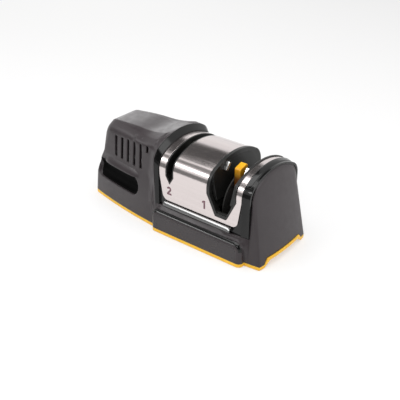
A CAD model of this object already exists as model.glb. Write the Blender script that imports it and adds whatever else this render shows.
"""Dresses the packed two-slot knife sharpener: finishes, trim, numerals, fasteners and the studio."""
import math

import bmesh
import bpy
from bpy.props import FloatProperty, FloatVectorProperty, IntProperty, PointerProperty
from bpy.types import Operator, Panel, PropertyGroup
from mathutils import Matrix, Vector
from mathutils.bvhtree import BVHTree


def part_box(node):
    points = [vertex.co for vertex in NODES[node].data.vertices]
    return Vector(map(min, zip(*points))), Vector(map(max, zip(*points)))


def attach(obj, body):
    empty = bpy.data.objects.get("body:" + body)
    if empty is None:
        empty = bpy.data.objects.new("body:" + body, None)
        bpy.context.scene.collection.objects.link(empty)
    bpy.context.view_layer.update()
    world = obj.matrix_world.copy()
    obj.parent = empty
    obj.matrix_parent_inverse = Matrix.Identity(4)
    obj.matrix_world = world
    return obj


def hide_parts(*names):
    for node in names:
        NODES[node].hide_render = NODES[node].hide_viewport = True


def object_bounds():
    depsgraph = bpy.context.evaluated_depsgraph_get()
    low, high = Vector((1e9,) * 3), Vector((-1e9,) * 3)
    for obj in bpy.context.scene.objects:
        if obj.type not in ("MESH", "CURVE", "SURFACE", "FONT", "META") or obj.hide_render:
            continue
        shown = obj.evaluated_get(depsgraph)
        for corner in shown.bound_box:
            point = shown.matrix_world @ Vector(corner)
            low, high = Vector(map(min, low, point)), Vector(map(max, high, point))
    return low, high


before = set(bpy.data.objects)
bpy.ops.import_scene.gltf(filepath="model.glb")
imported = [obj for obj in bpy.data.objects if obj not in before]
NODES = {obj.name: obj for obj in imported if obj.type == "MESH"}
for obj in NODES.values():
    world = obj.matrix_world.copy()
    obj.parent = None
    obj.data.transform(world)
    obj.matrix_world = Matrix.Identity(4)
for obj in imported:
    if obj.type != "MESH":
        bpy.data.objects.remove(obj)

bl_info = {
    "name": "Two-Slot Knife Sharpener",
    "version": (1, 0, 0),
    "blender": (4, 5, 0),
    "location": "View3D > Sidebar > Sharpener",
    "description": "Dresses the sharpener's frame with finishes, trim, numerals, fasteners and a studio",
    "category": "Object",
}

CAD_BOX = [list(corner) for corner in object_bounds()]
MM = 0.001
# Vertices nearer than this are joined
WELD = 0.002 * MM
# A vertex nearer than these belongs to a crease of the roof, or to a slit's wall
NEAR_CREASE = 0.3 * MM
NEAR_SLIT = 0.05 * MM
# Edges sharper than these stay crisp: on CAD nodes and the housing, on the bead, on other round pieces
SMOOTH_ANGLE = math.radians(24)
BEAD_ANGLE = math.radians(30)
ROUND_ANGLE = math.radians(40)
# Values of a noise texture lie mostly between these
NOISE_LOW, NOISE_HIGH = 0.3, 0.7


def colour(name, description, default):
    return FloatVectorProperty(name=name, description=description, subtype="COLOR", size=3, min=0, max=1,
                               default=default)


def length(name, description, default):
    return FloatProperty(name=name, description=description, default=default, min=0, unit="LENGTH",
                         precision=5)


def position(name, description, default):
    return FloatProperty(name=name, description=description, default=default, unit="LENGTH", precision=5)


def degrees(name, description, default, low=-180):
    return FloatProperty(name=name, description=description, default=math.radians(default),
                         min=math.radians(low), subtype="ANGLE")


def factor(name, description, default):
    return FloatProperty(name=name, description=description, default=default, min=0, max=1, subtype="FACTOR")


class BodyFinish(PropertyGroup):
    """The moulded body, its plate and the inner mouldings."""
    shade: colour("Body colour", "Warm dark grey of the housing", (0.031, 0.0238, 0.0265))
    plate: colour("Plate colour", "Bare plate on the front flank", (0.034, 0.028, 0.030))
    liner: colour("Liner colour", "Walls of the two slots", (0.007, 0.007, 0.0065))
    gloss: colour("Gloss colour", "Surround of the steel and inlays of the grip", (0.004, 0.004, 0.004))
    roughness: factor("Body roughness", "Satin of the housing", 0.36)
    grain: length("Grain size", "Width of a bump in the moulded texture", 0.0005)
    edge: length("Edge radius", "Softness of moulded edges", 0.0007)
    roll: length("Housing edge radius", "Softness of the housing's own edges", 0.0017)
    crease: length("Roof crease", "Distance of the roof's creases from the middle plane", 0.0135)
    slits: IntProperty(name="Vent slits", description="Number of vent slits on a side", default=6, min=0)
    slit_x: position("Slit, X", "Middle of the first slit", -0.0626)
    slit_pitch: length("Slit pitch", "Distance between slits", 0.0082)
    slit_half: length("Slit half width", "Half the width of a moulded slit", 0.00105)
    slit_draw: length("Slit draw", "How far each lip of a slit is drawn back", 0.0004)
    slit_foot: length("Slit foot", "Height above which slits lie", 0.0465)
    saddle: length("Saddle", "Dip of the roof behind the collar", 0.0021)
    saddle_x: position("Saddle, X", "Deepest place of the dip", -0.030)
    saddle_run: length("Saddle run", "Reach of the dip to each side", 0.015)
    saddle_foot: length("Saddle foot", "Height below which the side walls keep their form", 0.0688)
    saddle_head: length("Saddle head", "Height above which the whole dip shows", 0.0758)


class AccentFinish(PropertyGroup):
    """The amber base and guide, the ceramic rods and the discs."""
    amber: colour("Amber", "Base rim", (0.95, 0.53, 0.03))
    guide: colour("Guide amber", "Finger in the sharpening slot", (0.88, 0.42, 0.010))
    rod: colour("Rod colour", "Ceramic hone rods", (0.78, 0.75, 0.66))
    grit: colour("Grit colour", "Abrasive discs", (0.016, 0.015, 0.014))
    root: colour("Guide root", "Tone of the guide's lower part against its tip", (0.13, 0.085, 0.2))
    root_low: length("Root, low", "Height below which the root has its full tone", 0.060)
    root_high: length("Root, high", "Height above which the tip has its full tone", 0.0705)


class MetalFinish(PropertyGroup):
    """The brushed cover and the plated pieces."""
    steel: colour("Steel colour", "Brushed saddle", (0.70, 0.635, 0.625))
    steel_roughness: factor("Steel roughness", "Blur of the brushed steel", 0.16)
    streak: length("Streak width", "Width of a brush mark", 0.0006)
    plated: colour("Plating", "Screws, spindle and washers", (0.62, 0.62, 0.64))
    chrome: colour("Chrome", "Inserts in the slot walls", (0.93, 0.93, 0.93))


class InnerFinish(PropertyGroup):
    """The drive, the controls and the feet."""
    hub: colour("Hub", "Hub of the discs", (0.015, 0.015, 0.015))
    aluminium: colour("Aluminium", "Coupling", (0.66, 0.67, 0.69))
    bronze: colour("Bronze", "Bushes of the spindle", (0.42, 0.24, 0.10))
    can: colour("Can", "Motor can", (0.5, 0.5, 0.52))
    cap: colour("Cap", "Motor's end cap", (0.68, 0.65, 0.54))
    brass: colour("Brass", "Motor's terminals", (0.62, 0.44, 0.14))
    chassis: colour("Chassis", "Inner carrier", (0.014, 0.014, 0.015))
    lacquer: colour("Lacquer", "Circuit board", (0.012, 0.075, 0.022))
    socket: colour("Socket", "Switch and inlet", (0.01, 0.01, 0.01))
    button: colour("Button", "Power button", (0.075, 0.07, 0.072))
    rubber: colour("Rubber", "Feet", (0.012, 0.012, 0.012))


class Numerals(PropertyGroup):
    """The printed stage numbers."""
    height: length("Height", "Height of a numeral", 0.0074)
    stroke: factor("Stroke", "Width of a stroke as a share of the height", 0.22)
    ink: colour("Ink", "Colour of the print", (0.17, 0.085, 0.105))
    film: length("Film", "Thickness of the print", 0.00005)
    two_x: position("Two, X", "Middle of the numeral 2", 0.0052)
    two_z: position("Two, Z", "Foot of the numeral 2", 0.0368)
    one_x: position("One, X", "Middle of the numeral 1", 0.0406)
    one_z: position("One, Z", "Foot of the numeral 1", 0.0369)


class Trim(PropertyGroup):
    """The bead, the flank's edge and the lip of the recess."""
    bead_x0: length("Bead, left", "Middle of the bead's left end", 0.0025)
    bead_x1: length("Bead, right", "Middle of the bead's right end", 0.0655)
    bead_y: length("Bead, out", "Bead's distance from the middle plane", 0.0335)
    bead_z: length("Bead, up", "Height of the bead's middle", 0.0276)
    bead_r: length("Bead radius", "Radius of the bead", 0.0026)
    face_turn: degrees("Face turn", "Tilt of the bead's flat face", 38.5)
    face_bow: degrees("Face bow", "Turn across that face", 7, low=1)
    face_width: length("Face width", "Width of that face", 0.0021)
    cap_growth: FloatProperty(name="Cap growth", description="Radius of the cap against the bead's",
                              default=1.02, min=1)
    flank_x0: position("Flank, left", "Left end of the flank", -0.0115)
    flank_x1: length("Flank, right", "Right end of the flank", 0.0805)
    flank_z: length("Flank top", "Top of the flank", 0.021)
    flank_soft: length("Flank softness", "Radius of the flank's edge", 0.004)
    skin: length("Skin", "Thickness of the gloss skin", 0.00006)
    lip_x0: position("Lip, left", "Left end of the lip", -0.0800)
    lip_x1: position("Lip, right", "Right end of the lip", -0.0285)
    lip_z0: length("Lip, left height", "Height of the lip's foot at its left end", 0.0382)
    lip_z1: length("Lip, right height", "Height of the lip's foot at its right end", 0.0390)
    lip_r: length("Lip radius", "Radius of the lip", 0.0124)
    lip_out: length("Lip out", "How far the lip's foot stands out of the side above it", 0.0030)
    lip_low: degrees("Lip foot tilt", "Tilt of the lip at its foot", 15)
    lip_high: degrees("Lip top tilt", "Tilt of the lip at its top", 62)
    lip_relief: length("Lip relief", "Depth of the lip's moulded texture", 0.000006)


class Fasteners(PropertyGroup):
    """Screws and feet under the base."""
    recess: length("Cross recess", "Reach of a screw's cross recess", 0.0017)
    rings: IntProperty(name="Foot grooves", description="Grooves in the face of a foot", default=2, min=0,
                       max=3)


class Studio(PropertyGroup):
    """The camera and the light."""
    azimuth: degrees("Azimuth", "Turn of the camera", 39.07)
    elevation: degrees("Elevation", "Height angle of the camera", 29.48)
    place: FloatVectorProperty(name="Camera", description="Place of the camera", size=3, subtype="XYZ",
                               unit="LENGTH", default=(0.3548, -0.4247, 0.3284))
    lens: FloatProperty(name="Lens", description="Focal length in millimetres", default=67.1, min=10)
    ambient: FloatProperty(name="Ambient", description="Light of the room on the object", default=0.5, min=0)
    key: FloatProperty(name="Key light", description="Power of the top softbox", default=5.5, min=0,
                       subtype="POWER")


# Shared helpers for finishes


class Shade:
    """A finish under construction: one Principled shader with its textures on Object coordinates."""

    def __init__(self, name, base, roughness, metallic=0.0):
        self.material = bpy.data.materials.new(name)
        self.material.use_nodes = True
        self.tree = self.material.node_tree
        self.tree.nodes.clear()
        self.out = self.add("ShaderNodeOutputMaterial")
        self.bsdf = self.add("ShaderNodeBsdfPrincipled")
        self.join(self.bsdf.outputs[0], self.out.inputs[0])
        self.base = tuple(base)
        self.set("Base Color", (*self.base, 1))
        self.set("Roughness", roughness)
        self.set("Metallic", metallic)
        self.material.diffuse_color = (*self.base, 1)
        self.coords = self.add("ShaderNodeTexCoord").outputs["Object"]
        self.normal = None

    def add(self, kind, **values):
        node = self.tree.nodes.new(kind)
        for key, value in values.items():
            setattr(node, key, value)
        return node

    def join(self, a, b):
        self.tree.links.new(a, b)

    def set(self, socket, value):
        self.bsdf.inputs[socket].default_value = value

    def stretch(self, scale):
        mapping = self.add("ShaderNodeMapping")
        mapping.inputs["Scale"].default_value = scale
        self.join(self.coords, mapping.inputs["Vector"])
        return mapping.outputs["Vector"]

    def noise(self, scale, detail=3.0, rough=0.55, at=None):
        node = self.add("ShaderNodeTexNoise")
        node.inputs["Scale"].default_value = scale
        node.inputs["Detail"].default_value = detail
        node.inputs["Roughness"].default_value = rough
        self.join(at or self.coords, node.inputs["Vector"])
        return node.outputs["Fac"]

    def cells(self, scale, feature="F1"):
        node = self.add("ShaderNodeTexVoronoi", feature=feature)
        node.inputs["Scale"].default_value = scale
        self.join(self.coords, node.inputs["Vector"])
        return node.outputs["Distance"]

    def spread(self, value, low, high, from_low=NOISE_LOW, from_high=NOISE_HIGH):
        node = self.add("ShaderNodeMapRange")
        limits = {"From Min": from_low, "From Max": from_high, "To Min": low, "To Max": high}
        for socket, number in limits.items():
            node.inputs[socket].default_value = number
        self.join(value, node.inputs["Value"])
        return node.outputs["Result"]

    def tint(self, value, dark, light):
        """Colour runs from dark to light times the base colour across a noise's span."""
        ramp = self.add("ShaderNodeValToRGB")
        ramp.color_ramp.elements[0].position = NOISE_LOW
        ramp.color_ramp.elements[1].position = NOISE_HIGH
        ramp.color_ramp.elements[0].color = (*(min(c * dark, 1) for c in self.base), 1)
        ramp.color_ramp.elements[1].color = (*(min(c * light, 1) for c in self.base), 1)
        self.join(value, ramp.inputs["Fac"])
        self.join(ramp.outputs["Color"], self.bsdf.inputs["Base Color"])

    def fade(self, low, high, dark):
        """The colour darkens down the object's Z from high to low, as the root of a tinted moulding does."""
        axes = self.add("ShaderNodeSeparateXYZ")
        self.join(self.coords, axes.inputs[0])
        mix = self.add("ShaderNodeMix", data_type="RGBA", blend_type="MULTIPLY")
        ramp = self.add("ShaderNodeValToRGB")
        ramp.color_ramp.elements[0].color = (*dark, 1)
        ramp.color_ramp.elements[1].color = (1, 1, 1, 1)
        self.join(self.spread(axes.outputs["Z"], 0, 1, low, high), ramp.inputs["Fac"])
        link = self.bsdf.inputs["Base Color"].links[0]
        mix.inputs["Factor"].default_value = 1
        self.join(link.from_socket, mix.inputs["A"])
        self.join(ramp.outputs["Color"], mix.inputs["B"])
        self.join(mix.outputs["Result"], self.bsdf.inputs["Base Color"])

    def rough(self, value, low, high):
        self.join(self.spread(value, low, high), self.bsdf.inputs["Roughness"])

    def soft_edges(self, radius):
        node = self.add("ShaderNodeBevel", samples=6)
        node.inputs["Radius"].default_value = radius
        self.normal = node.outputs["Normal"]
        self.join(self.normal, self.bsdf.inputs["Normal"])

    def bump(self, height, strength, distance):
        node = self.add("ShaderNodeBump")
        node.inputs["Strength"].default_value = strength
        node.inputs["Distance"].default_value = distance
        self.join(height, node.inputs["Height"])
        if self.normal:
            self.join(self.normal, node.inputs["Normal"])
        self.normal = node.outputs["Normal"]
        self.join(self.normal, self.bsdf.inputs["Normal"])


def moulded(name, base, roughness, grain, edge, depth=0.00003):
    """Satin moulding: cloudy tone, fine pebbled texture and soft edges."""
    s = Shade(name, base, roughness)
    s.set("Specular IOR Level", 0.45)
    s.tint(s.noise(38, 4), 0.93, 1.08)
    s.rough(s.noise(160, 3), roughness - 0.05, roughness + 0.06)
    s.soft_edges(edge)
    s.bump(s.noise(1 / grain, 2), 0.22, depth)
    return s


def glossy(name, base, roughness, edge):
    """Gloss moulding: a clear skin over black, with faint flow marks and rub marks."""
    s = Shade(name, base, roughness)
    s.set("Specular IOR Level", 0.36)
    s.tint(s.noise(30, 2), 0.8, 1.3)
    s.rough(s.noise(90, 5), max(roughness - 0.04, 0.03), roughness + 0.05)
    s.soft_edges(edge)
    s.bump(s.noise(260, 2), 0.04, 0.00004)
    return s


def brushed(name, base, roughness, streak, edge):
    """Brushed metal: fine streaks along X in colour, blur and relief."""
    s = Shade(name, base, roughness, metallic=1.0)
    across = 1 / streak
    wide = s.stretch((9.0, across * 0.45, across * 0.45))
    fine = s.stretch((22.0, across, across))
    s.set("Anisotropic", 0.2)
    tangent = s.add("ShaderNodeTangent", direction_type="RADIAL", axis="X")
    s.join(tangent.outputs["Tangent"], s.bsdf.inputs["Tangent"])
    s.tint(s.noise(1, 3, 0.6, at=wide), 0.96, 1.04)
    s.rough(s.noise(1, 4, 0.65, at=fine), roughness - 0.04, roughness + 0.05)
    s.soft_edges(edge)
    s.bump(s.noise(1, 4, 0.7, at=fine), 0.06, 0.00002)
    return s


def plated(name, base, roughness):
    """Plated or turned metal: slight tarnish and fine marks."""
    s = Shade(name, base, roughness, metallic=1.0)
    s.tint(s.noise(140, 4), 0.86, 1.05)
    s.rough(s.noise(420, 4), roughness - 0.06, roughness + 0.1)
    s.soft_edges(0.0002)
    s.bump(s.noise(1500, 3), 0.08, 0.00002)
    return s


# Shared helpers for meshes


def smooth_tree():
    """Geometry Nodes tree that welds a CAD node's triangles and shades all but its crisp edges smooth."""
    tree = bpy.data.node_groups.get("Smooth finish")
    if tree:
        return tree
    tree = bpy.data.node_groups.new("Smooth finish", "GeometryNodeTree")
    face = tree.interface
    face.new_socket("Geometry", in_out="INPUT", socket_type="NodeSocketGeometry")
    crisp = face.new_socket("Crisp angle", in_out="INPUT", socket_type="NodeSocketFloat")
    crisp.default_value = SMOOTH_ANGLE
    face.new_socket("Geometry", in_out="OUTPUT", socket_type="NodeSocketGeometry")
    nodes, links = tree.nodes, tree.links
    start, end = nodes.new("NodeGroupInput"), nodes.new("NodeGroupOutput")
    weld = nodes.new("GeometryNodeMergeByDistance")
    weld.inputs["Distance"].default_value = WELD
    angle = nodes.new("GeometryNodeInputMeshEdgeAngle")
    below = nodes.new("FunctionNodeCompare")
    below.data_type, below.operation = "FLOAT", "LESS_THAN"
    faces, edges = nodes.new("GeometryNodeSetShadeSmooth"), nodes.new("GeometryNodeSetShadeSmooth")
    edges.domain = "EDGE"
    links.new(start.outputs[0], weld.inputs["Geometry"])
    links.new(weld.outputs[0], faces.inputs["Geometry"])
    links.new(faces.outputs[0], edges.inputs["Geometry"])
    links.new(angle.outputs["Unsigned Angle"], below.inputs[0])
    links.new(start.outputs[1], below.inputs[1])
    links.new(below.outputs[0], edges.inputs["Shade Smooth"])
    links.new(edges.outputs[0], end.inputs[0])
    return tree


def dress(node, finish):
    """Gives a carried CAD node its finish, and smooth shading where its form is curved."""
    obj = NODES[node]
    obj.data.materials.clear()
    obj.data.materials.append(finish.material)
    modifier = obj.modifiers.new("Smooth finish", "NODES")
    modifier.node_group = smooth_tree()


def new_piece(name, mesh, finish, body, replaced=()):
    """Links a finished mesh as a piece of the object."""
    obj = bpy.data.objects.new(name, mesh)
    bpy.context.scene.collection.objects.link(obj)
    mesh.materials.clear()
    mesh.materials.append(finish.material)
    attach(obj, body)
    if replaced:
        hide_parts(*replaced)


def plain_mesh(obj, name):
    """The evaluated mesh of a helper object, which is then removed."""
    bpy.context.view_layer.update()
    graph = bpy.context.evaluated_depsgraph_get()
    mesh = bpy.data.meshes.new_from_object(obj.evaluated_get(graph), depsgraph=graph)
    mesh.name = name
    data = obj.data
    bpy.data.objects.remove(obj)
    if data.users == 0:
        bpy.data.meshes.remove(data)
    return mesh


def helper(name, data):
    """Links an object that isn't a piece: a lamp, the camera, a card, the floor or a step to a mesh."""
    obj = bpy.data.objects.new(name, data)
    bpy.context.scene.collection.objects.link(obj)
    return obj


def ray(angle):
    """The point at an angle on a circle of radius 1."""
    return Vector((math.cos(angle), math.sin(angle)))


def lathe(profile, steps):
    """Closed mesh turned about Z from (radius, height) pairs that start and end on the axis."""
    bm = bmesh.new()
    rings = []
    for r, z in profile:
        if r == 0:
            rings.append([bm.verts.new((0, 0, z))])
        else:
            rings.append([bm.verts.new((r * math.cos(a), r * math.sin(a), z))
                          for a in (2 * math.pi * i / steps for i in range(steps))])
    for low, high in zip(rings, rings[1:]):
        for i in range(steps):
            j = (i + 1) % steps
            corners = [low[i % len(low)], low[j % len(low)], high[j % len(high)], high[i % len(high)]]
            unique = list(dict.fromkeys(corners))
            if len(unique) > 2:
                bm.faces.new(unique)
    bmesh.ops.recalc_face_normals(bm, faces=bm.faces)
    mesh = bpy.data.meshes.new("turned")
    bm.to_mesh(mesh)
    bm.free()
    return mesh


def smooth_faces(mesh, crisp):
    """Shades a mesh smooth, apart from edges sharper than the crisp angle."""
    mesh.polygons.foreach_set("use_smooth", [True] * len(mesh.polygons))
    mesh.set_sharp_from_angle(angle=crisp)


def pattern_tree(name, template, material):
    """Geometry Nodes tree that sets a template on every vertex of a mesh and realizes the copies."""
    tree = bpy.data.node_groups.new(name, "GeometryNodeTree")
    face = tree.interface
    face.new_socket("Geometry", in_out="INPUT", socket_type="NodeSocketGeometry")
    size = face.new_socket("Scale", in_out="INPUT", socket_type="NodeSocketFloat")
    size.default_value = 1.0
    face.new_socket("Geometry", in_out="OUTPUT", socket_type="NodeSocketGeometry")
    nodes, links = tree.nodes, tree.links
    start, end = nodes.new("NodeGroupInput"), nodes.new("NodeGroupOutput")
    info = nodes.new("GeometryNodeObjectInfo")
    info.inputs["Object"].default_value = template
    place = nodes.new("GeometryNodeInstanceOnPoints")
    real = nodes.new("GeometryNodeRealizeInstances")
    paint = nodes.new("GeometryNodeSetMaterial")
    paint.inputs["Material"].default_value = material
    links.new(start.outputs["Geometry"], place.inputs["Points"])
    links.new(info.outputs["Geometry"], place.inputs["Instance"])
    links.new(start.outputs["Scale"], place.inputs["Scale"])
    links.new(place.outputs["Instances"], real.inputs["Geometry"])
    links.new(real.outputs["Geometry"], paint.inputs["Geometry"])
    links.new(paint.outputs["Geometry"], end.inputs["Geometry"])
    return tree


def repeat(name, template_mesh, points, finish):
    """One mesh that holds a copy of the template at each point."""
    template = helper(name + " template", template_mesh)
    seeds = bpy.data.meshes.new(name + " points")
    seeds.from_pydata([tuple(p) for p in points], [], [])
    carrier = helper(name + " carrier", seeds)
    modifier = carrier.modifiers.new("Pattern", "NODES")
    modifier.node_group = pattern_tree(name + " pattern", template, finish.material)
    mesh = plain_mesh(carrier, name)
    bpy.data.objects.remove(template)
    return mesh


def close_tube(bm, rings):
    """Faces between closed rings of vertices, and a cap on each end."""
    count = len(rings[0])
    for low, high in zip(rings, rings[1:]):
        for i in range(count):
            j = (i + 1) % count
            bm.faces.new((low[i], low[j], high[j], high[i]))
    bm.faces.new(rings[0])
    bm.faces.new(rings[-1])


def finished(bm, name, crisp):
    """A smooth-shaded mesh from a bmesh, which is cleared of doubles and slivers and then freed."""
    bmesh.ops.remove_doubles(bm, verts=bm.verts, dist=WELD)
    bmesh.ops.dissolve_degenerate(bm, dist=WELD, edges=bm.edges)
    bmesh.ops.recalc_face_normals(bm, faces=bm.faces)
    mesh = bpy.data.meshes.new(name)
    bm.to_mesh(mesh)
    bm.free()
    smooth_faces(mesh, crisp)
    return mesh


def welded_copy(node):
    """A bmesh of a CAD node, with its loose triangles joined."""
    bm = bmesh.new()
    bm.from_mesh(NODES[node].data)
    bmesh.ops.remove_doubles(bm, verts=bm.verts, dist=WELD)
    return bm


def islands(node):
    """Centre, lowest and highest corner of each separate solid in a CAD node."""
    bm = welded_copy(node)
    left, found = set(bm.verts), []
    while left:
        todo, group = [left.pop()], []
        while todo:
            v = todo.pop()
            group.append(v.co.copy())
            for e in v.link_edges:
                w = e.other_vert(v)
                if w in left:
                    left.remove(w)
                    todo.append(w)
        low = Vector(min(c[i] for c in group) for i in range(3))
        high = Vector(max(c[i] for c in group) for i in range(3))
        found.append(((low + high) / 2, low, high))
    bm.free()
    return sorted(found, key=lambda f: tuple(round(c, 5) for c in f[0]))


# Operators, one for each piece or group


class SHARPENER_OT_body(Operator):
    """Finish the moulded housing, the bare front plate and the grip's inlays"""
    bl_idname = "sharpener.body"
    bl_label = "Body"

    def execute(self, context):
        p = context.scene.sharpener_body
        satin = moulded("Body satin", p.shade, p.roughness, p.grain, p.roll)
        new_piece("housing_shell", self.shell(p), satin, "base", ["main_housing"])
        dress("front_plate", moulded("Plate satin", p.plate, p.roughness - 0.06, p.grain, p.edge))
        inlay = glossy("Inlay black", p.gloss, roughness=0.45, edge=0.0004)
        inlay.set("Specular IOR Level", 0.02)
        dress("grip_inlays", inlay)
        return {"FINISHED"}

    def shell(self, p):
        """The housing's mesh, dipped to a saddle behind its collar and crisp along its roof's two creases."""
        bm = welded_copy("main_housing")
        step = p.saddle_run / 4
        # Cuts across the roof, so that it can bend
        for i in range(-9, 7):
            everything = bm.verts[:] + bm.edges[:] + bm.faces[:]
            bmesh.ops.bisect_plane(bm, geom=everything, dist=WELD / 2, plane_co=(p.saddle_x + i * step, 0, 0),
                                   plane_no=(1, 0, 0))
        for v in bm.verts:
            near = math.exp(-((v.co.x - p.saddle_x) / p.saddle_run) ** 2)
            high = min(max((v.co.z - p.saddle_foot) / (p.saddle_head - p.saddle_foot), 0), 1)
            v.co.z -= p.saddle * near * high * high * (3 - 2 * high)
            self.widen(p, v)
        mesh = finished(bm, "housing_shell", SMOOTH_ANGLE)
        for edge in mesh.edges:
            ends = [mesh.vertices[i].co for i in edge.vertices]
            if all(abs(abs(c.y) - p.crease) < NEAR_CREASE and c.z > p.saddle_foot for c in ends):
                edge.use_edge_sharp = True
        return mesh

    def widen(self, p, v):
        """Draws back the lips of the vent slits, whose edges are rounded off on the real moulding."""
        for i in range(p.slits):
            off = v.co.x - p.slit_x - i * p.slit_pitch
            on_wall = abs(abs(off) - p.slit_half) < NEAR_SLIT
            if on_wall and abs(v.co.y) > p.crease and v.co.z > p.slit_foot:
                v.co.x += math.copysign(p.slit_draw, off)


class SHARPENER_OT_base(Operator):
    """Finish the amber base"""
    bl_idname = "sharpener.base"
    bl_label = "Amber base"

    def execute(self, context):
        p = context.scene.sharpener_accent
        s = moulded("Amber satin", p.amber, roughness=0.4, grain=0.0006, edge=0.0004)
        s.set("Subsurface Weight", 0.12)
        s.set("Subsurface Scale", 0.001)
        dress("base_tray", s)
        return {"FINISHED"}


class SHARPENER_OT_steel(Operator):
    """Finish the brushed saddle and the gloss surround"""
    bl_idname = "sharpener.steel"
    bl_label = "Steel and surround"

    def execute(self, context):
        p, body = context.scene.sharpener_metal, context.scene.sharpener_body
        dress("steel_cover", brushed("Brushed steel", p.steel, p.steel_roughness, p.streak, edge=0.0002))
        dress("gloss_surround", glossy("Gloss black", body.gloss, roughness=0.12, edge=0.0006))
        return {"FINISHED"}


class SHARPENER_OT_trim(Operator):
    """Make the bead under the steel, the flanks' gloss edges and the rolled lips over the finger recesses"""
    bl_idname = "sharpener.trim"
    bl_label = "Trim"

    def execute(self, context):
        p, body = context.scene.sharpener_trim, context.scene.sharpener_body
        bead = glossy("Bead gloss", body.gloss, roughness=0.09, edge=0.0004)
        bead.set("Specular IOR Level", 1.0)
        bead.set("Coat Weight", 1.0)
        bead.set("Coat Roughness", 0.06)
        new_piece("bead_caps", self.beads(p), bead, "base")
        edge = glossy("Edge gloss", body.gloss, roughness=0.14, edge=0.0004)
        new_piece("flank_edges", self.edges(p), edge, "base")
        lip = moulded("Lip satin", body.shade, body.roughness, body.grain, body.roll, p.lip_relief)
        new_piece("recess_lips", self.lips(p), lip, "base")
        return {"FINISHED"}

    def beads(self, p):
        """A cap over each bead, with a nearly flat upper face that takes the light as one line."""
        cap_r = p.bead_r * p.cap_growth
        bow_r = p.face_width / p.face_bow
        middle = ray(p.face_turn) * (cap_r - bow_r)
        below = [ray(math.radians(a)) * cap_r for a in (-25, -12, 0, 12)]
        face = [middle + ray(p.face_turn + p.face_bow * (i / 6 - 0.5)) * bow_r for i in range(7)]
        above = [ray(math.radians(a)) * cap_r for a in (68, 82, 96)]
        section = [Vector((0, 0)), *below, *face, *above]
        left, run = p.bead_x0 - p.bead_r, p.bead_x1 - p.bead_x0 + 2 * p.bead_r
        steps, bluntness = 24, 24
        bm = bmesh.new()
        for side in (-1, 1):
            rings = []
            for i in range(steps + 1):
                t = i / steps
                x = left + run * (0.5 - 0.5 * math.cos(math.pi * t))
                # Each end closes in a blunt round
                swell = max(1 - abs(2 * t - 1) ** bluntness, 0) ** 0.5
                rings.append([bm.verts.new((x, side * (p.bead_y + v.x * swell), p.bead_z + v.y * swell))
                              for v in section])
            close_tube(bm, rings)
        return finished(bm, "bead_caps", BEAD_ANGLE)

    def edges(self, p):
        """A gloss skin over the rounded edge of each flank, taken from the housing's own faces."""
        bm = welded_copy("main_housing")
        out, slack = -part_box("front_plate")[0].y, 0.4 * MM
        band = ((p.flank_x0 - slack, p.flank_x1 + slack),
                (out - p.flank_soft * 0.8, out + slack / 2),
                (p.flank_z - p.flank_soft * 1.9, p.flank_z + slack))
        gone = []
        for f in bm.faces:
            c = f.calc_center_median()
            inside = all(low < v < high for v, (low, high) in zip((c.x, abs(c.y), c.z), band))
            # Neither the flank's flat side nor its underside
            rounded = abs(f.normal.y) < 0.85 and f.normal.z > -0.3
            if not (inside and rounded):
                gone.append(f)
        bmesh.ops.delete(bm, geom=gone, context="FACES")
        bmesh.ops.recalc_face_normals(bm, faces=bm.faces)
        bmesh.ops.solidify(bm, geom=bm.faces, thickness=-p.skin)
        return finished(bm, "flank_edges", ROUND_ANGLE)

    def lips(self, p):
        """A rolled lip that overhangs each finger recess, on the bowed side."""
        shell = NODES["main_housing"].data
        tree = BVHTree.FromPolygons([v.co for v in shell.vertices], [f.vertices for f in shell.polygons])
        steps, sides = 36, 10
        turns = [p.lip_low + (p.lip_high - p.lip_low) * k / sides for k in range(sides + 1)]
        section = [(ray(a) - ray(p.lip_low)) * p.lip_r for a in turns]
        back = section[-1].x - p.lip_out
        section += [Vector((back, section[-1].y)), Vector((back, 0))]
        outside = 2 * CAD_BOX[1][1]
        bm = bmesh.new()
        for side in (-1, 1):
            rings = []
            for i in range(steps + 1):
                t = i / steps
                x = p.lip_x0 + (p.lip_x1 - p.lip_x0) * t
                z = p.lip_z0 + (p.lip_z1 - p.lip_z0) * t
                start = Vector((x, side * outside, z + p.lip_r / 3))
                wall = tree.ray_cast(start, Vector((0, -side, 0)))[0].y
                # The lip's ends sink into the wall
                sink = p.lip_out * 1.3 * abs(2 * t - 1) ** 6
                y = wall + side * (p.lip_out - sink)
                rings.append([bm.verts.new((x, y + side * v.x, z + v.y)) for v in section])
            close_tube(bm, rings)
        return finished(bm, "recess_lips", ROUND_ANGLE)


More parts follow.
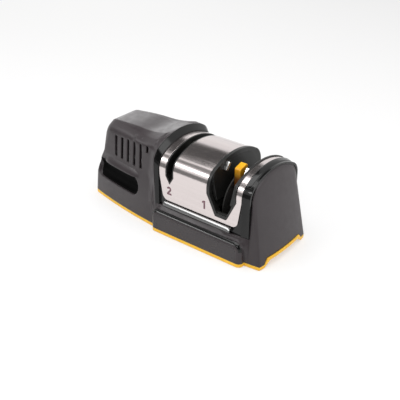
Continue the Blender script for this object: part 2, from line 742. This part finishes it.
class SHARPENER_OT_numerals(Operator):
    """Print the stage numbers on the steel"""
    bl_idname = "sharpener.numerals"
    bl_label = "Numerals"

    def execute(self, context):
        p = context.scene.sharpener_numerals
        ink = Shade("Printed ink", p.ink, 0.5)
        ink.tint(ink.noise(900, 3), 0.8, 1.25)
        ink.rough(ink.noise(700, 3), 0.42, 0.6)
        ink.bump(ink.noise(2500, 2), 0.1, 0.00002)
        face_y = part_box("steel_cover")[0].y
        for name, outline, x, z in (("numeral_two", self.two(p.stroke), p.two_x, p.two_z),
                                    ("numeral_one", self.one(p.stroke), p.one_x, p.one_z)):
            middle = (min(u for u, _ in outline) + max(u for u, _ in outline)) / 2
            corners = [(x + (u - middle) * p.height, z + v * p.height) for u, v in outline]
            bm = bmesh.new()
            front = bm.faces.new([bm.verts.new((cx, face_y - p.film, cz)) for cx, cz in corners])
            grown = bmesh.ops.extrude_face_region(bm, geom=[front])["geom"]
            back = [g for g in grown if isinstance(g, bmesh.types.BMVert)]
            # The film's back stays just clear of the steel
            bmesh.ops.translate(bm, vec=(0, p.film * 0.9, 0), verts=back)
            bmesh.ops.recalc_face_normals(bm, faces=bm.faces)
            bmesh.ops.triangulate(bm, faces=bm.faces)
            mesh = bpy.data.meshes.new(name)
            bm.to_mesh(mesh)
            bm.free()
            new_piece(name, mesh, ink, "base")
        return {"FINISHED"}

    def one(self, w):
        """Outline of the numeral 1 for a height of 1 and a stroke of w."""
        return [(0.2, 0), (0.2 + w, 0), (0.2 + w, 1), (0.24, 1), (0, 0.84), (0, 0.84 - w), (0.2, 0.97 - w)]

    def two(self, w):
        """Outline of the numeral 2 for a height of 1 and a stroke of w."""
        r, start, end, steps = 0.31, math.radians(172), math.radians(-40), 18
        turns = [start + (end - start) * i / steps for i in range(steps + 1)]
        outer = [(r + r * math.cos(a), 1 - r + r * math.sin(a)) for a in turns]
        inner = [(r + (r - w) * math.cos(a), 1 - r + (r - w) * math.sin(a)) for a in reversed(turns)]
        return outer + [(0.30, w), (0.64, w), (0.64, 0), (0, 0), (0, 0.8 * w)] + inner


class SHARPENER_OT_slots(Operator):
    """Finish the slot liners, the amber guide, the bright inserts and the ceramic rods"""
    bl_idname = "sharpener.slots"
    bl_label = "Slots"

    def execute(self, context):
        body, accent = context.scene.sharpener_body, context.scene.sharpener_accent
        liner = moulded("Liner black", body.liner, roughness=0.38, grain=body.grain, edge=0.0004)
        for node in ("sharpening_liner", "honing_liner"):
            dress(node, liner)
        guide = moulded("Guide amber", accent.guide, roughness=0.32, grain=0.0008, edge=0.0006)
        guide.set("Subsurface Weight", 0.15)
        guide.set("Subsurface Scale", 0.0015)
        guide.fade(accent.root_low, accent.root_high, accent.root)
        dress("centre_guide", guide)
        dress("guide_inserts", plated("Insert chrome", context.scene.sharpener_metal.chrome, roughness=0.32))
        rod = Shade("Hone ceramic", accent.rod, 0.55)
        rod.tint(rod.noise(220, 4), 0.9, 1.05)
        rod.rough(rod.noise(900, 3), 0.48, 0.66)
        rod.bump(rod.noise(4000, 3), 0.2, 0.00003)
        dress("hone_rods", rod)
        return {"FINISHED"}


class SHARPENER_OT_discs(Operator):
    """Finish the abrasive discs and what carries them"""
    bl_idname = "sharpener.discs"
    bl_label = "Discs and spindle"

    def execute(self, context):
        accent, metal = context.scene.sharpener_accent, context.scene.sharpener_metal
        inner = context.scene.sharpener_inner
        grit = Shade("Abrasive grit", accent.grit, 0.75)
        grains = grit.cells(2200)
        grit.tint(grains, 1.6, 0.7)
        grit.rough(grit.noise(1800, 3), 0.62, 0.9)
        grit.bump(grains, 0.6, 0.00008)
        for node in ("abrasive_disc_left", "abrasive_disc_right"):
            dress(node, grit)
        dress("wheel_hub", moulded("Hub black", inner.hub, roughness=0.45, grain=0.0005, edge=0.0004))
        bright = plated("Bright plating", metal.plated, roughness=0.28)
        for node in ("disc_washers", "spindle", "motor_shaft", "motor_screws", "board_screws", "inlet_pin"):
            dress(node, bright)
        turned = brushed("Turned aluminium", inner.aluminium, roughness=0.3, streak=0.0005, edge=0.0002)
        dress("coupling", turned)
        bronze = plated("Sintered bronze", inner.bronze, roughness=0.45)
        bronze.bump(bronze.cells(1600), 0.3, 0.00005)
        dress("spindle_bushes", bronze)
        return {"FINISHED"}


class SHARPENER_OT_drive(Operator):
    """Finish the motor, its carrier and the board"""
    bl_idname = "sharpener.drive"
    bl_label = "Drive"

    def execute(self, context):
        inner = context.scene.sharpener_inner
        dress("motor_can", brushed("Motor can", inner.can, roughness=0.34, streak=0.0012, edge=0.0003))
        dress("motor_end_cap", moulded("Cap ivory", inner.cap, roughness=0.5, grain=0.0006, edge=0.0004))
        dress("motor_terminals", plated("Terminal brass", inner.brass, roughness=0.3))
        dress("chassis", moulded("Chassis black", inner.chassis, roughness=0.5, grain=0.0006, edge=0.0004))
        board = Shade("Board lacquer", inner.lacquer, roughness=0.3)
        board.tint(board.cells(420, "DISTANCE_TO_EDGE"), 1.5, 0.9)
        board.rough(board.noise(600, 3), 0.24, 0.4)
        board.bump(board.noise(1400, 2), 0.15, 0.00003)
        dress("circuit_board", board)
        return {"FINISHED"}


class SHARPENER_OT_controls(Operator):
    """Finish the power button, its switch and the inlet"""
    bl_idname = "sharpener.controls"
    bl_label = "Controls"

    def execute(self, context):
        inner = context.scene.sharpener_inner
        black = moulded("Socket black", inner.socket, roughness=0.4, grain=0.0006, edge=0.0003)
        for node in ("switch_body", "dc_socket"):
            dress(node, black)
        grey = moulded("Button grey", inner.button, roughness=0.34, grain=0.0005, edge=0.0006)
        dress("power_button", grey)
        return {"FINISHED"}


class SHARPENER_OT_fasteners(Operator):
    """Make the screws and the rubber feet under the base"""
    bl_idname = "sharpener.fasteners"
    bl_label = "Screws and feet"

    def execute(self, context):
        p, inner = context.scene.sharpener_fasteners, context.scene.sharpener_inner
        bright = plated("Screw plating", context.scene.sharpener_metal.plated, roughness=0.3)
        mesh = self.copies("screws_under_base", "base_screws", self.screw, p, bright)
        new_piece("screws_under_base", mesh, bright, "base", ["base_screws"])
        rubber = moulded("Foot rubber", inner.rubber, roughness=0.7, grain=0.0004, edge=0.0003)
        mesh = self.copies("feet_under_base", "rubber_feet", self.foot, p, rubber)
        new_piece("feet_under_base", mesh, rubber, "base", ["rubber_feet"])
        return {"FINISHED"}

    def copies(self, name, node, make, p, finish):
        """One mesh with a copy of what make returns in the place of each solid of a CAD node."""
        spots = islands(node)
        _, low, high = spots[0]
        template = make(p, (high.x - low.x) / 2, high.z - low.z)
        return repeat(name, template, [(c.x, c.y, lo.z) for c, lo, _ in spots], finish)

    def screw(self, p, head_r, tall):
        """A screw with a domed head and a cross recess, head down."""
        head_h, shank_r, tip = 1.35 * MM, 1.4 * MM, 1.5 * MM
        profile = [(0, 0.12 * MM), (head_r * 0.45, 0.1 * MM), (head_r * 0.78, 0.28 * MM),
                   (head_r * 0.96, 0.72 * MM), (head_r, 1.0 * MM), (head_r, head_h), (shank_r, head_h),
                   (shank_r, tall - tip), (0, tall)]
        screw = helper("screw blank", lathe(profile, 32))
        for turn in (0, math.pi / 2):
            cutter = helper("recess", self.arm(p.recess, turn))
            cut = screw.modifiers.new("Recess", "BOOLEAN")
            cut.operation, cut.object, cut.solver = "DIFFERENCE", cutter, "EXACT"
            blank = plain_mesh(screw, "screw")
            bpy.data.objects.remove(cutter)
            screw = helper("screw blank", blank)
        bm = bmesh.new()
        bm.from_mesh(screw.data)
        bpy.data.objects.remove(screw)
        return finished(bm, "screw", ROUND_ANGLE)

    def arm(self, reach, turn):
        """One bar of the cross that is cut out of a screw's head."""
        thick, deep = 0.84 * MM, 2.0 * MM
        bm = bmesh.new()
        bmesh.ops.create_cube(bm, size=1)
        bmesh.ops.scale(bm, vec=(2 * reach, thick, deep), verts=bm.verts)
        bmesh.ops.rotate(bm, matrix=Matrix.Rotation(turn, 3, "Z"), verts=bm.verts)
        mesh = bpy.data.meshes.new("recess")
        bm.to_mesh(mesh)
        bm.free()
        return mesh

    def foot(self, p, r, tall):
        """A round foot with ring grooves in its face."""
        mouth, floor, depth = 0.35 * MM, 0.2 * MM, 0.3 * MM
        profile = [(0, 0)]
        for i in range(p.rings):
            at = r * (0.35 + 0.3 * i)
            profile += [(at - mouth, 0), (at - floor, depth), (at + floor, depth), (at + mouth, 0)]
        profile += [(r - 0.5 * MM, 0), (r - 0.15 * MM, 0.15 * MM), (r, 0.5 * MM), (r, tall), (0, tall)]
        mesh = lathe(profile, 48)
        smooth_faces(mesh, ROUND_ANGLE)
        return mesh


class SHARPENER_OT_stage(Operator):
    """Set the floor, the light and the camera"""
    bl_idname = "sharpener.stage"
    bl_label = "Studio"

    def execute(self, context):
        p = context.scene.sharpener_studio
        scene = context.scene
        scene.view_settings.view_transform = "Standard"
        self.room(scene, p.ambient)
        self.floor()
        self.softbox("Top softbox", place=(0.05, -0.10, 0.9), target=(0.02, 0, 0.03), size=(0.9, 0.7),
                     power=p.key)
        self.softbox("Front strip", place=(-0.50, -0.70, 0.62), target=(0.02, 0, 0.05), size=(0.9, 0.12),
                     power=p.key * 0.5)
        self.softbox("Back softbox", place=(-0.89, 0.75, 0.34), target=(-0.05, 0, 0.07), size=(0.40, 0.34),
                     power=p.key * 0.19)
        self.softbox("Side softbox", place=(0.9, 0.1, 0.45), target=(0.05, 0, 0.04), size=(0.5, 0.5),
                     power=p.key * 0.3)
        self.softbox("Camera spot", place=(0.46, -0.82, 0.62), target=(0.05, 0, 0.04), size=(0.12, 0.12),
                     power=p.key * 0.12)
        self.flag("Low flag", turns=(195, 290), heights=(-6, 17), away=0.42, tone=0.22)
        self.flag("Left flag", turns=(194, 262), heights=(44, 66), away=1.5, tone=0.26)
        self.flag("High flag", turns=(124, 178), heights=(35, 76), away=1.5, tone=0.08)
        self.flag("Camera flag", turns=(290, 345), heights=(6, 60), away=1.4, tone=0.05)
        self.camera(scene, p)
        return {"FINISHED"}

    def room(self, scene, ambient):
        world = bpy.data.worlds.new("Studio")
        scene.world = world
        world.use_nodes = True
        tree = world.node_tree
        tree.nodes.clear()
        out = tree.nodes.new("ShaderNodeOutputWorld")
        mix = tree.nodes.new("ShaderNodeMixShader")
        dim, white = tree.nodes.new("ShaderNodeBackground"), tree.nodes.new("ShaderNodeBackground")
        dim.inputs["Color"].default_value = (1, 0.99, 0.985, 1)
        dim.inputs["Strength"].default_value = ambient
        white.inputs["Color"].default_value = (1, 1, 1, 1)
        white.inputs["Strength"].default_value = 1.0
        tree.links.new(self.seen(tree), mix.inputs[0])
        tree.links.new(dim.outputs[0], mix.inputs[1])
        tree.links.new(white.outputs[0], mix.inputs[2])
        tree.links.new(mix.outputs[0], out.inputs[0])

    def seen(self, tree):
        """1 for camera, glossy and transmission rays."""
        path = tree.nodes.new("ShaderNodeLightPath")
        first, second = tree.nodes.new("ShaderNodeMath"), tree.nodes.new("ShaderNodeMath")
        first.operation = second.operation = "MAXIMUM"
        tree.links.new(path.outputs["Is Camera Ray"], first.inputs[0])
        tree.links.new(path.outputs["Is Glossy Ray"], first.inputs[1])
        tree.links.new(first.outputs[0], second.inputs[0])
        tree.links.new(path.outputs["Is Transmission Ray"], second.inputs[1])
        return second.outputs[0]

    def floor(self):
        mesh = bpy.data.meshes.new("studio_floor")
        half = 6.0
        corners = [(-half, -half, 0), (half, -half, 0), (half, half, 0), (-half, half, 0)]
        mesh.from_pydata(corners, [], [(0, 1, 2, 3)])
        obj = helper("studio_floor", mesh)
        material = bpy.data.materials.new("Pale floor")
        material.use_nodes = True
        tree = material.node_tree
        tree.nodes.clear()
        out = tree.nodes.new("ShaderNodeOutputMaterial")
        mix, total = tree.nodes.new("ShaderNodeMixShader"), tree.nodes.new("ShaderNodeAddShader")
        plain, dim = tree.nodes.new("ShaderNodeBsdfDiffuse"), tree.nodes.new("ShaderNodeBsdfDiffuse")
        glow = tree.nodes.new("ShaderNodeEmission")
        plain.inputs["Color"].default_value = (0.8, 0.8, 0.8, 1)
        dim.inputs["Color"].default_value = (0.45, 0.45, 0.45, 1)
        glow.inputs["Strength"].default_value = 0.5
        tree.links.new(dim.outputs[0], total.inputs[0])
        tree.links.new(glow.outputs[0], total.inputs[1])
        tree.links.new(self.seen(tree), mix.inputs[0])
        tree.links.new(plain.outputs[0], mix.inputs[1])
        tree.links.new(total.outputs[0], mix.inputs[2])
        tree.links.new(mix.outputs[0], out.inputs[0])
        mesh.materials.append(material)

    def softbox(self, name, place, target, size, power):
        data = bpy.data.lights.new(name, "AREA")
        data.shape = "RECTANGLE"
        data.size, data.size_y = size
        data.energy = power
        obj = helper(name, data)
        obj.location = place
        obj.rotation_euler = (Vector(target) - Vector(place)).to_track_quat("-Z", "Y").to_euler()
        obj.visible_camera = False

    def flag(self, name, turns, heights, away, tone):
        """Dark card of the studio on a sphere round the object, which only reflections show."""
        steps, middle_z = 12, 0.045
        points, faces = [], []
        for j in range(steps + 1):
            up = math.radians(heights[0] + (heights[1] - heights[0]) * j / steps)
            for i in range(steps + 1):
                turn = math.radians(turns[0] + (turns[1] - turns[0]) * i / steps)
                points.append((away * math.cos(up) * math.cos(turn), away * math.cos(up) * math.sin(turn),
                               middle_z + away * math.sin(up)))
        for j in range(steps):
            for i in range(steps):
                k = j * (steps + 1) + i
                faces.append((k, k + 1, k + steps + 2, k + steps + 1))
        mesh = bpy.data.meshes.new(name)
        mesh.from_pydata(points, [], faces)
        material = bpy.data.materials.new(name)
        material.use_nodes = True
        tree = material.node_tree
        tree.nodes.clear()
        out, glow = tree.nodes.new("ShaderNodeOutputMaterial"), tree.nodes.new("ShaderNodeEmission")
        glow.inputs["Strength"].default_value = tone
        tree.links.new(glow.outputs[0], out.inputs[0])
        mesh.materials.append(material)
        obj = helper(name, mesh)
        obj.visible_camera = obj.visible_diffuse = obj.visible_shadow = obj.visible_transmission = False

    def camera(self, scene, p):
        data = bpy.data.cameras.new("Photo camera")
        data.sensor_width = 36
        data.lens = p.lens
        data.clip_start, data.clip_end = 0.01, 50
        obj = helper("Photo camera", data)
        obj.location = p.place
        obj.rotation_euler = (math.pi / 2 - p.elevation, 0, p.azimuth)
        scene.camera = obj


class SHARPENER_PT_sidebar(Panel):
    """Lists the sharpener's pieces and their settings"""
    bl_idname = "SHARPENER_PT_sidebar"
    bl_label = "Knife sharpener"
    bl_space_type = "VIEW_3D"
    bl_region_type = "UI"
    bl_category = "Sharpener"

    def draw(self, context):
        for group, name in GROUPS.items():
            box = self.layout.box()
            box.label(text=group.__doc__)
            settings = getattr(context.scene, name)
            for key in group.__annotations__:
                box.prop(settings, key)
        for operator in OPERATORS:
            self.layout.operator(operator.bl_idname)


GROUPS = {
    BodyFinish: "sharpener_body",
    AccentFinish: "sharpener_accent",
    MetalFinish: "sharpener_metal",
    InnerFinish: "sharpener_inner",
    Trim: "sharpener_trim",
    Numerals: "sharpener_numerals",
    Fasteners: "sharpener_fasteners",
    Studio: "sharpener_studio",
}
OPERATORS = (
    SHARPENER_OT_stage, SHARPENER_OT_body, SHARPENER_OT_base, SHARPENER_OT_steel, SHARPENER_OT_trim,
    SHARPENER_OT_numerals, SHARPENER_OT_slots, SHARPENER_OT_discs, SHARPENER_OT_drive,
    SHARPENER_OT_controls, SHARPENER_OT_fasteners,
)


def register():
    for group, name in GROUPS.items():
        bpy.utils.register_class(group)
        setattr(bpy.types.Scene, name, PointerProperty(type=group))
    for cls in (*OPERATORS, SHARPENER_PT_sidebar):
        bpy.utils.register_class(cls)


def unregister():
    for cls in (SHARPENER_PT_sidebar, *reversed(OPERATORS)):
        bpy.utils.unregister_class(cls)
    for group, name in GROUPS.items():
        delattr(bpy.types.Scene, name)
        bpy.utils.unregister_class(group)


def main():
    register()
    for operator in OPERATORS:
        area, call = operator.bl_idname.split(".")
        getattr(getattr(bpy.ops, area), call)()


if __name__ == "__main__":
    main()
